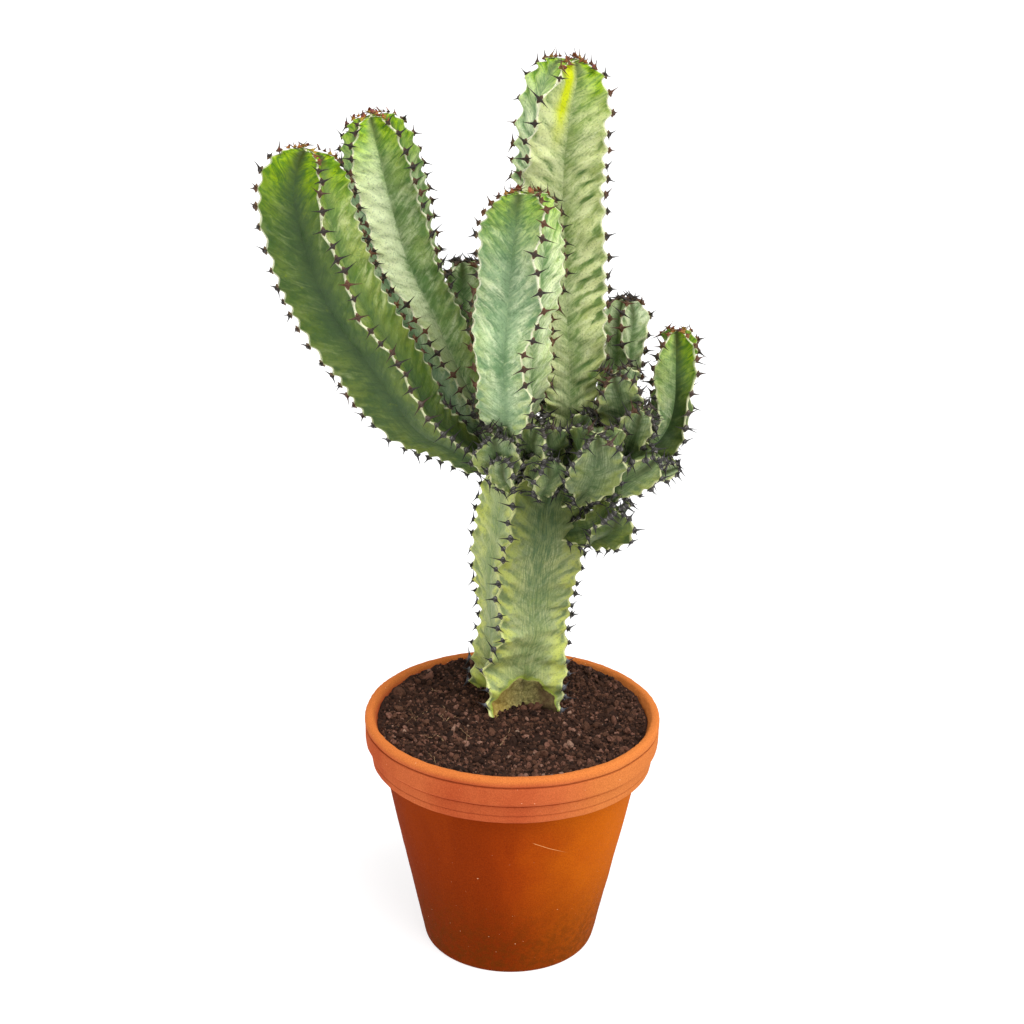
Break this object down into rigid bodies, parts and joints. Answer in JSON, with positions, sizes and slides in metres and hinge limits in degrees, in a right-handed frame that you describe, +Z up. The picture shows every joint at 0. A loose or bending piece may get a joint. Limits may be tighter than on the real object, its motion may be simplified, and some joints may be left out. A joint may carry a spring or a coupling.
{
  "type": "potted euphorbia",
  "caption": "Candelabra-shaped spurge succulent with toothed, spiny ribs on upright arms and short offsets, rooted in soil in a tapered clay pot that rests on its flat underside.",
  "frame": {"origin": "centre of the pot's flat underside, on the surface that the pot stands on", "axes": "+Z up along the pot's axis, +Y away from the side that the picture shows, +X to the right seen from that side"},
  "size_m": [0.3847, 0.27, 0.8107],
  "materials": {
    "clay": "matte",
    "soil": "matte",
    "stem": "satin"
  },
  "bodies": {
    "root": {"pot": "clay", "soil": "soil", "trunk": "stem", "arm_centre": "stem", "arm_left": "stem", "arm_left_back": "stem", "arm_front": "stem", "arm_right": "stem", "arm_back": "stem", "arm_right_back": "stem", "offset_large": "stem", "offset_upper_right": "stem", "offset_outer_right": "stem", "offset_top_right": "stem", "offset_low_right": "stem", "offset_side_right": "stem", "offset_upper_left": "stem", "offset_upper_middle": "stem", "offset_lower_middle": "stem", "offset_middle_right": "stem", "offset_lower_left": "stem"}
  },
  "joints": []
}
